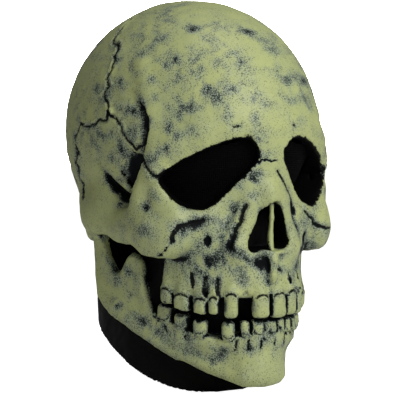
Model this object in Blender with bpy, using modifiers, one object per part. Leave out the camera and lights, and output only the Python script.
"""Full-overhead latex skull mask.

One slush-cast latex skin carries the skull, the closed jaw and a neck skirt.
A T-shaped slit at the nape frees two lapels of the skirt, which swing outwards
so that a head can pass. Black scrim covers the eye sockets and the nasal opening
from inside, and foam pads seat the skin on the head.

Design numbers are millimetres, turned into metres by MM.
The face looks along -Y, +X is the wearer's left, +Z is up.
The origin is under the middle of the mask, at the height of its lowest point.
"""
import math
from functools import reduce

import bmesh
import bpy
import numpy as np
from mathutils import Matrix, Vector

MM = 0.001
SHIFT_Y, SHIFT_Z = -0.143, 6.215   # from the skull's own frame to the mask's origin
X_AXIS, Y_AXIS, Z_AXIS = (1, 0, 0), (0, 1, 0), (0, 0, 1)
SIDES = ((1, "left"), (-1, "right"))

# ---------------------------------------------------------------- dimensions
SKIN_T = 3.0                       # latex wall
GLUE = 1.0                         # room between the skin and what is glued in
INSIDE = SKIN_T + GLUE             # depth of the glued pieces below the outside
SCRIM_T = 0.8                      # eye and nose mesh
SCRIM_EXTRA = 1.5                  # the scrim lies this much deeper than the pads
PAD_T = 7.0                        # foam pads

CRANIUM_C, CRANIUM_R = (0, 0, 180), (85, 104.5, 92.5)
MIDLINE_ROUND = 1.0                # rounds the crease where the mirrored halves meet

# neck tube: a superellipse over a rim that falls towards the front
RIM_C = (0.0, 12.0, 24.0)
RIM_SLOPE = math.radians(28)
RIM_COS, RIM_SIN = math.cos(RIM_SLOPE), math.sin(RIM_SLOPE)
NECK_A, NECK_B = 60.5, 64.0        # half width and half depth
NECK_POWER = 2.5
NECK_FLARE = 0.04                  # gain in half width per mm above the rim
NECK_SCALE = 60                    # turns the superellipse value into rough mm
NECK_TOP = 90                      # end of the tube above the rim, inside the skull
TUBE_LEAN = -math.tan(RIM_SLOPE)   # the tube stands upright over its slanted rim

# loft
RINGS_TOP, RINGS_LOW, SEGMENTS = 14, 18, 48
TOP_SPAN = 112                     # degrees from the crown to the last top ring
RIM_OVERRUN = 3                    # the loft runs this far below the rim
FACE_CROWDING = 0.4                # draws the segments together round the face
MAX_REACH = 140.0                  # the surface search starts this far out
BISECTIONS = 22

# the nape slit and the lapels beside it
LAPEL_H = 46.0                     # height of the lapels at their bend lines
HINGE_X = 52.0                     # the lapels bend about a line this far from the middle
AXIS_OUT = 1.5                     # the bend axis lies this far outside the latex
FOLD_GAP = 0.6
SLIT_GAP = 0.8
# reach of a lapel's block: round the wall, inwards, outwards, below the bend line's foot
BLOCK_ROUND, BLOCK_IN, BLOCK_OUT, BLOCK_DOWN = 110.0, 70.0, 20.0, 40.0

# eye socket outline in its own slanted plane: (distance outwards, height)
ORBIT = [(0, 158), (0, 167), (9, 171), (25, 167), (43, 160), (60, 150), (65, 145),
         (57, 134), (45, 127), (33, 127), (20, 138), (8, 149)]
ORBIT_AT, ORBIT_ALONG = (8.0, -91.0), (0.891, 0.453)   # x, y of the plane and its direction
ORBIT_IN, ORBIT_OUT = 30, 34       # reach of the cutter behind and before the plane
ORBIT_MARGIN = 7                   # overlap of the scrim round the socket

# left half of the nasal opening: x, height
NOSE = [(0, 128), (6, 126), (11, 115), (17, 104), (16, 96), (8, 96), (0, 95)]
NOSE_FRONT_Y = -125
NOSE_DEPTH, NOSE_MARGIN_DEPTH = 55, 62
NOSE_MARGIN = 6

# ridges of the left half: (centre, radius) of each stop
BROW = [((0, -86, 176), 11), ((28, -82.5, 181), 12), ((42, -77.5, 176), 12),
        ((54, -69, 168), 11.5), ((62, -61.5, 160), 10.5)]
ORBIT_RIM = [((8, -85, 152), 5), ((26, -79.5, 133), 7), ((48, -72, 119.5), 8),
             ((58, -67, 123), 9), ((66, -58, 150), 8.5)]
NASAL_BRIDGE = [((0, -84, 163), 8), ((0, -96, 133), 8)]
NASAL_SIDE = [((7, -84, 150), 7), ((14, -87, 120), 8), ((20, -86, 101), 9)]

# jaw arch in plan, chin to back: x, y, lower edge, upper edge
JAW = [(0, -93, 2, 44), (17, -90, 2, 44), (32, -73, 8, 46), (49, -46, 23, 52),
       (64, -16, 42, 66), (69, 6, 56, 100)]
JAW_R = 9.0                        # rounding of the band
JAW_UPPER_INSET = 1                # its upper edge lies this much further in
UPPER_ARCH_BACK_Y = -30            # the upper jaw's ellipsoid ends here

# pads glued in at the front and back
# name, cutter, oval centre (x, z), half sizes, points, start and end of the cutter
# towards the front, extra depth below the skin, thickness, material
PADS = [
    ("forehead_pad", "forehead_at", (0, 219), (40, 15), 20, 40, 130, 0, PAD_T, "foam"),
    ("occiput_pad", "occiput_at", (0, 172), (34, 20), 20, -40, -130, 0, PAD_T, "foam"),
    ("chin_pad", "chin_at", (0, 30), (17, 9), 20, 74, 120, 0.8, 4.5, "foam"),
    ("slit_stay", "stay_at", (0, 99), (17.3, 5.7), 18, -20, -85, 0, 1.2, "tape"),
]
TEMPLE_C, TEMPLE_HALF = (6, 192), (26, 20)   # y, z
TEMPLE_FROM, TEMPLE_TO = 40, 110             # x
CROWN_PAD_R = 40
CROWN_PAD_BOTTOM = 252
CROWN_CUTTER_H = 60


# ---------------------------------------------------------------- distance fields
# All give rough signed distances in mm, negative inside, at point = (x, y, z) arrays.
def blend_min(first, second, width):
    """Union of two distances with a fillet of the given width."""
    share = np.clip(0.5 + 0.5 * (second - first) / width, 0.0, 1.0)
    return second * (1 - share) + first * share - width * share * (1 - share)


def blend_all(distances, width):
    return reduce(lambda first, second: blend_min(first, second, width), distances)


def rotated(first, second, degrees):
    sine, cosine = math.sin(math.radians(degrees)), math.cos(math.radians(degrees))
    return cosine * first + sine * second, -sine * first + cosine * second


def ellipsoid(point, centre, radii, turn=0.0, pitch=0.0):
    """Ellipsoid turned about Z, then pitched about its own X, in degrees."""
    x, y, z = (value - middle for value, middle in zip(point, centre))
    x, y = rotated(x, y, turn)
    y, z = rotated(y, z, pitch)
    rx, ry, rz = radii
    size = np.sqrt((x / rx) ** 2 + (y / ry) ** 2 + (z / rz) ** 2) + 1e-9
    slope = np.sqrt((x / rx ** 2) ** 2 + (y / ry ** 2) ** 2 + (z / rz ** 2) ** 2) + 1e-9
    return size * (size - 1) / slope


def rod(point, start, end, start_r, end_r):
    """Round-ended rod with a radius that changes along it."""
    axis = [b - a for a, b in zip(start, end)]
    offset = [value - a for value, a in zip(point, start)]
    along = np.clip(sum(o * a for o, a in zip(offset, axis)) / sum(a * a for a in axis), 0, 1)
    away = np.sqrt(sum((o - along * a) ** 2 for o, a in zip(offset, axis)))
    return away - start_r - (end_r - start_r) * along


def ridge(point, stops, width):
    return blend_all([rod(point, start, end, start_r, end_r)
                      for (start, start_r), (end, end_r) in zip(stops[:-1], stops[1:])], width)


def facial_bones(point):
    face = ellipsoid(point, (0, -24, 134), (64, 62, 52))
    arch = np.maximum(ellipsoid(point, (0, -30, 84), (57, 69, 44)), point[1] - UPPER_ARCH_BACK_Y)
    cheek = ellipsoid(point, (62.5, -58, 109.5), (15.5, 23, 20), turn=-26)
    cheek = blend_min(cheek, ridge(point, ORBIT_RIM, 5), 8)
    nasal = blend_min(ridge(point, NASAL_BRIDGE, 4), ridge(point, NASAL_SIDE, 5), 6)
    zygoma = blend_min(ellipsoid(point, (70.5, -30, 113.5), (9.5, 28, 13.5), pitch=-5),
                       ellipsoid(point, (73.5, 4, 124), (8.5, 24, 18), pitch=-18), 8)
    closed_mouth = ellipsoid(point, (0, -20, 88), (60, 66, 92))
    front = blend_min(blend_min(face, arch, 12), blend_min(nasal, cheek, 8), 8)
    front = blend_min(front, zygoma, 9)
    return blend_min(front, closed_mouth, 6)


def skull(point):
    occiput = ellipsoid(point, (0, 60, 150), (64, 42, 46))
    mastoid = rod(point, (66, 28, 130), (64, 26, 108), 14, 9)
    bone = blend_min(ellipsoid(point, CRANIUM_C, CRANIUM_R), occiput, 12)
    bone = blend_min(bone, ridge(point, BROW, 6), 10)
    bone = blend_min(bone, facial_bones(point), 8)
    return blend_min(bone, mastoid, 10)


def jaw(point):
    """The jaw arch, a band of changing height swept along its plan curve."""
    bands = []
    for ends in zip(JAW[:-1], JAW[1:]):
        dx, dy = ends[1][0] - ends[0][0], ends[1][1] - ends[0][1]
        length = math.hypot(dx, dy)
        in_x, in_y = -dy / length, dx / length      # towards the inside
        inset = JAW_R + JAW_UPPER_INSET
        lower = [(x + in_x * JAW_R, y + in_y * JAW_R, low + JAW_R) for x, y, low, _ in ends]
        upper = [(x + in_x * inset, y + in_y * inset, high - JAW_R) for x, y, _, high in ends]
        middle = [tuple((a + b) / 2 for a, b in zip(*pair)) for pair in zip(lower, upper)]
        bands.append(blend_all([rod(point, *line, JAW_R, JAW_R)
                                for line in (lower, middle, upper)], 6))
    return blend_all(bands, 5)


def neck(point):
    x, y, z = point[0], point[1] - RIM_C[1], point[2] - RIM_C[2]
    along = y * RIM_COS + z * RIM_SIN               # in the rim's plane, towards the back
    above = z * RIM_COS - y * RIM_SIN               # square to the rim's plane
    size = (np.abs(x / (NECK_A + NECK_FLARE * above)) ** NECK_POWER
            + np.abs((along + TUBE_LEAN * above) / NECK_B) ** NECK_POWER) ** (1 / NECK_POWER)
    return np.maximum((size - 1) * NECK_SCALE, above - NECK_TOP)


def form(points):
    """Distance to the outside of the mask at an array of points; left and right are alike."""
    x, y, z = points[..., 0], points[..., 1], points[..., 2]
    mirrored = (np.sqrt(x * x + MIDLINE_ROUND), y, z)
    return blend_min(blend_min(skull(mirrored), jaw(mirrored), 7), neck((x, y, z)), 9)


# ---------------------------------------------------------------- lofting
def ring_frames():
    """Middle height, middle depth and tilt of every ring, crown to rim."""
    rings = []
    for i in range(1, RINGS_TOP + 1):
        latitude = math.radians(90 - TOP_SPAN * i / RINGS_TOP)
        rings.append((CRANIUM_C[2] + CRANIUM_R[2] * math.sin(latitude), 0.0, 0.0))
    start_z = rings[-1][0]
    for i in range(1, RINGS_LOW + 1):
        t = i / RINGS_LOW
        rings.append((start_z + (RIM_C[2] - RIM_OVERRUN - start_z) * t,
                      RIM_C[1] * t,
                      RIM_SLOPE * t * t * (3 - 2 * t)))
    return rings


def ring_points(centre, directions, level):
    """Points where rays from the centre meet the level, searched from outside inwards."""
    reach = np.arange(MAX_REACH, 0.0, -1.0)
    inside = form(centre + reach[:, None, None] * directions[None]) < level
    first = np.argmax(inside, axis=0)
    outer = reach[np.maximum(first - 1, 0)]
    inner = reach[first]
    for _ in range(BISECTIONS):
        middle = (inner + outer) / 2
        is_in = form(centre + middle[:, None] * directions) < level
        inner, outer = np.where(is_in, middle, inner), np.where(is_in, outer, middle)
    return centre + inner[:, None] * directions


def loft(name, level, wall):
    """Shell whose outside lies where form() equals level, from the crown to below the rim."""
    turn = 2 * np.pi * np.arange(SEGMENTS) / SEGMENTS
    turn = turn - FACE_CROWDING * np.cos(turn)
    bm = bmesh.new()
    pole = bm.verts.new(place((0, 0, CRANIUM_C[2] + CRANIUM_R[2] + level)))
    rows = []
    for z, y, tilt in ring_frames():
        directions = np.stack([np.cos(turn), np.sin(turn) * math.cos(tilt),
                               np.sin(turn) * math.sin(tilt)], 1)
        points = ring_points(np.array([0.0, y, z]), directions, level)
        rows.append([bm.verts.new(place(point)) for point in points])
    for j in range(SEGMENTS):
        k = (j + 1) % SEGMENTS
        bm.faces.new((pole, rows[0][j], rows[0][k]))
        for upper, lower in zip(rows[:-1], rows[1:]):
            bm.faces.new((upper[j], lower[j], lower[k], upper[k]))
    ob = add(bm, name, PARTS)
    solidify = ob.modifiers.new("wall", "SOLIDIFY")
    solidify.thickness = wall * MM
    solidify.offset = -1.0
    solidify.use_even_offset = True
    solidify.use_quality_normals = True
    return ob


# ---------------------------------------------------------------- helpers
def place(point):
    """Design point in mm to scene position in metres."""
    return Vector((point[0] * MM, (point[1] + SHIFT_Y) * MM, (point[2] + SHIFT_Z) * MM))


def collection(name):
    made = bpy.data.collections.new(name)
    bpy.context.scene.collection.children.link(made)
    return made


def add(bm, name, where):
    mesh = bpy.data.meshes.new(name)
    bm.to_mesh(mesh)
    bm.free()
    ob = bpy.data.objects.new(name, mesh)
    where.objects.link(ob)
    return ob


def cutter(bm, name):
    bmesh.ops.recalc_face_normals(bm, faces=bm.faces[:])
    ob = add(bm, name, CUTTERS)
    ob.hide_render = True
    ob.display_type = "WIRE"
    return ob


def cut(ob, tool, operation="DIFFERENCE"):
    boolean = ob.modifiers.new(tool.name, "BOOLEAN")
    boolean.operation = operation
    boolean.object = tool
    boolean.solver = "EXACT"


def material(name, colour, roughness):
    made = bpy.data.materials.new(name)
    made.use_nodes = True
    inputs = made.node_tree.nodes["Principled BSDF"].inputs
    inputs["Base Color"].default_value = (*colour, 1)
    inputs["Roughness"].default_value = roughness
    inputs["Metallic"].default_value = 0.0
    made.diffuse_color = (*colour, 1)
    return made


def finish(ob, material_name):
    ob.data.materials.append(MATERIALS[material_name])
    ob.data.shade_smooth()
    ob.data.set_sharp_from_angle(angle=math.radians(50))


# ---------------------------------------------------------------- outlines and prisms
def softened(points, rounds):
    """Corner-cut outline."""
    for _ in range(rounds):
        out = []
        for a, b in zip(points, points[1:] + points[:1]):
            out.append((0.75 * a[0] + 0.25 * b[0], 0.75 * a[1] + 0.25 * b[1]))
            out.append((0.25 * a[0] + 0.75 * b[0], 0.25 * a[1] + 0.75 * b[1]))
        points = out
    return points


def middle_of(points):
    return (sum(point[0] for point in points) / len(points),
            sum(point[1] for point in points) / len(points))


def grown(points, by):
    """Outline moved outwards from its middle by a distance."""
    mid_x, mid_y = middle_of(points)
    out = []
    for x, y in points:
        radius = math.hypot(x - mid_x, y - mid_y)
        out.append((x + (x - mid_x) / radius * by, y + (y - mid_y) / radius * by))
    return out


def oval(centre, half, count=20, power=2.6):
    """Superellipse outline."""
    out = []
    for i in range(count):
        turn = 2 * math.pi * i / count
        out.append(tuple(mid + size * math.copysign(abs(wave) ** (2 / power), wave)
                         for mid, size, wave in zip(centre, half, (math.cos(turn), math.sin(turn)))))
    return out


def prism(name, outline, origin, along_u, along_v, start, end, taper=1.0):
    """Prism over an outline in the plane of along_u and along_v.

    It runs from start to end along u x v; taper scales the outline at the end."""
    origin = Vector(origin)
    u_axis, v_axis = Vector(along_u).normalized(), Vector(along_v).normalized()
    normal = u_axis.cross(v_axis)
    mid_u, mid_v = middle_of(outline)
    bm = bmesh.new()
    ends = []
    for depth, scale in ((start, 1.0), (end, taper)):
        ends.append([bm.verts.new(place(origin + u_axis * (mid_u + (u - mid_u) * scale)
                                        + v_axis * (mid_v + (v - mid_v) * scale)
                                        + normal * depth))
                     for u, v in outline])
    bm.faces.new(ends[0])
    bm.faces.new(list(reversed(ends[1])))
    for i in range(len(outline)):
        j = (i + 1) % len(outline)
        bm.faces.new((ends[0][i], ends[1][i], ends[1][j], ends[0][j]))
    return cutter(bm, name)


def orbit_prism(name, side, outline, taper):
    """Eye socket prism, from behind its plane outwards through the face."""
    return prism(name, softened(outline, 2), (side * ORBIT_AT[0], ORBIT_AT[1], 0),
                 (side * ORBIT_ALONG[0], ORBIT_ALONG[1], 0), Z_AXIS,
                 -ORBIT_IN * side, ORBIT_OUT * side, taper)


def nose_prism(name, outline, depth):
    return prism(name, softened(outline, 1), (0, NOSE_FRONT_Y, 0), X_AXIS, Z_AXIS, 0, -depth)


def rim_block(size=260.0):
    """Big block whose upper face lies on the plane of the neck rim."""
    down = Vector((0, RIM_SIN, -RIM_COS)).normalized()
    bm = bmesh.new()
    bmesh.ops.create_cube(bm, size=1.0)
    matrix = (Matrix.Translation(place(RIM_C)) @ down.to_track_quat("Z", "Y").to_matrix().to_4x4()
              @ Matrix.Translation((0, 0, size * MM / 2)) @ Matrix.Scale(size * MM, 4))
    bmesh.ops.transform(bm, matrix=matrix, verts=bm.verts[:])
    return cutter(bm, "below_rim")


# ---------------------------------------------------------------- lapels
def bend_line(side):
    """Where one lapel bends: a point on the rim, then the directions along the tube
    wall upwards, out of the wall, and round the wall towards the slit."""
    along = NECK_B * (1 - (HINGE_X / NECK_A) ** NECK_POWER) ** (1 / NECK_POWER)
    foot = Vector((side * HINGE_X, RIM_C[1] + along * RIM_COS, RIM_C[2] + along * RIM_SIN))
    up = Vector((0, -RIM_SIN - TUBE_LEAN * RIM_COS, RIM_COS - TUBE_LEAN * RIM_SIN)).normalized()
    back = Vector((0, up.z, -up.y))
    sideways = Vector((side, 0, 0))
    slope_x = (HINGE_X / NECK_A) ** (NECK_POWER - 1) / NECK_A
    slope_back = (along / NECK_B) ** (NECK_POWER - 1) / NECK_B
    out = (sideways * slope_x + back * slope_back).normalized()
    round_wall = (back * slope_x - sideways * slope_back).normalized()
    return foot, up, out, round_wall


def lapel_block(name, side, gap, from_x):
    """Block that holds one lapel: past the bend line, below its top edge, on its side
    of the slit."""
    foot, up, out, round_wall = bend_line(side)
    low = (-gap, -BLOCK_IN, -BLOCK_DOWN)
    high = (BLOCK_ROUND, BLOCK_OUT, LAPEL_H + gap)
    frame = Matrix((round_wall, out, up)).transposed().to_4x4()
    size = [(b - a) * MM for a, b in zip(low, high)]
    middle = Vector([(a + b) / 2 * MM for a, b in zip(low, high)])
    bm = bmesh.new()
    bmesh.ops.create_cube(bm, size=1.0)
    matrix = (Matrix.Translation(place(foot)) @ frame @ Matrix.Translation(middle)
              @ Matrix.Diagonal((*size, 1)))
    bmesh.ops.transform(bm, matrix=matrix, verts=bm.verts[:])
    halved = bmesh.ops.bisect_plane(bm, geom=bm.verts[:] + bm.edges[:] + bm.faces[:],
                                    plane_co=Vector((side * from_x * MM, 0, 0)),
                                    plane_no=Vector((-side, 0, 0)), clear_outer=True)
    edges = [item for item in halved["geom_cut"] if isinstance(item, bmesh.types.BMEdge)]
    bmesh.ops.contextual_create(bm, geom=edges)
    return cutter(bm, name)


def neck_flap(side, name, below_rim):
    """One lapel, parented to an empty on its bend axis."""
    flap = loft("neck_flap_" + name, 0.0, SKIN_T)
    cut(flap, below_rim)
    cut(flap, lapel_block("lapel_keep_" + name, side, 0.0, SLIT_GAP / 2), "INTERSECT")
    finish(flap, "latex")
    foot, up, out, _ = bend_line(side)
    hinge = bpy.data.objects.new("bend_axis_" + name, None)
    PARTS.objects.link(hinge)
    hinge.location = place(foot + out * AXIS_OUT + up * (LAPEL_H / 2))
    hinge.rotation_mode = "QUATERNION"
    hinge.rotation_quaternion = up.to_track_quat("Z", "Y")
    hinge.empty_display_size = 0.03
    bpy.context.view_layer.update()
    flap.parent = hinge
    flap.matrix_parent_inverse = hinge.matrix_world.inverted()


# ---------------------------------------------------------------- pieces
def latex_skin(nose_outline, below_rim):
    skin = loft("latex_skin", 0.0, SKIN_T)
    cut(skin, below_rim)
    for side, name in SIDES:
        cut(skin, orbit_prism("orbit_cut_" + name, side, ORBIT, 0.86))
    cut(skin, nose_prism("nose_cut", nose_outline, NOSE_DEPTH))
    for side, name in SIDES:
        cut(skin, lapel_block("lapel_gap_" + name, side, FOLD_GAP, -SLIT_GAP / 2))
    finish(skin, "latex")


def inlay(name, depth, thickness, tool, material_name):
    """Piece that follows the skin at a depth below its outside, trimmed by the tool."""
    ob = loft(name, -depth, thickness)
    cut(ob, tool, "INTERSECT")
    finish(ob, material_name)


def scrims(nose_outline):
    depth = INSIDE + SCRIM_EXTRA
    for side, name in SIDES:
        margin = orbit_prism("orbit_margin_" + name, side, grown(ORBIT, ORBIT_MARGIN), 0.9)
        inlay("eye_mesh_" + name, depth, SCRIM_T, margin, "scrim")
    margin = nose_prism("nose_margin", grown(nose_outline, NOSE_MARGIN), NOSE_MARGIN_DEPTH)
    inlay("nose_mesh", depth, SCRIM_T, margin, "scrim")


def pads():
    for name, tool, centre, half, count, start, end, extra, thickness, stuff in PADS:
        seat = prism(tool, oval(centre, half, count), (0, 0, 0), X_AXIS, Z_AXIS, start, end)
        inlay(name, INSIDE + extra, thickness, seat, stuff)
    for side, name in SIDES:
        seat = prism("temple_at_" + name, oval(TEMPLE_C, TEMPLE_HALF), (0, 0, 0),
                     Y_AXIS, Z_AXIS, side * TEMPLE_FROM, side * TEMPLE_TO)
        inlay("temple_pad_" + name, INSIDE, PAD_T, seat, "foam")


def crown_pad():
    """Domed on top like the skin's inside, flat underneath where the head bears."""
    bm = bmesh.new()
    bmesh.ops.create_uvsphere(bm, u_segments=32, v_segments=24, radius=1.0)
    radii = [(radius - INSIDE) * MM for radius in CRANIUM_R]
    bmesh.ops.transform(bm, verts=bm.verts[:],
                        matrix=Matrix.Translation(place(CRANIUM_C)) @ Matrix.Diagonal((*radii, 1)))
    crown = add(bm, "crown_pad", PARTS)
    bm = bmesh.new()
    bmesh.ops.create_cone(bm, cap_ends=True, segments=28, radius1=CROWN_PAD_R * MM,
                          radius2=CROWN_PAD_R * MM, depth=CROWN_CUTTER_H * MM)
    bmesh.ops.translate(bm, verts=bm.verts[:],
                        vec=place((0, 0, CROWN_PAD_BOTTOM + CROWN_CUTTER_H / 2)))
    cut(crown, cutter(bm, "crown_at"), "INTERSECT")
    finish(crown, "foam")


# ---------------------------------------------------------------- build
for old in list(bpy.data.objects):
    bpy.data.objects.remove(old, do_unlink=True)
PARTS = collection("latex_skull_mask")
CUTTERS = collection("cutters")
MATERIALS = {
    "latex": material("latex", colour=(0.40, 0.44, 0.21), roughness=0.45),
    "scrim": material("scrim", colour=(0.012, 0.012, 0.012), roughness=0.9),
    "foam": material("foam", colour=(0.03, 0.03, 0.032), roughness=0.95),
    "tape": material("tape", colour=(0.02, 0.02, 0.02), roughness=0.85),
}

rim_tool = rim_block()
whole_nose = NOSE + [(-x, z) for x, z in NOSE[-2:0:-1]]
latex_skin(whole_nose, rim_tool)
for side, name in SIDES:
    neck_flap(side, name, rim_tool)
scrims(whole_nose)
pads()
crown_pad()
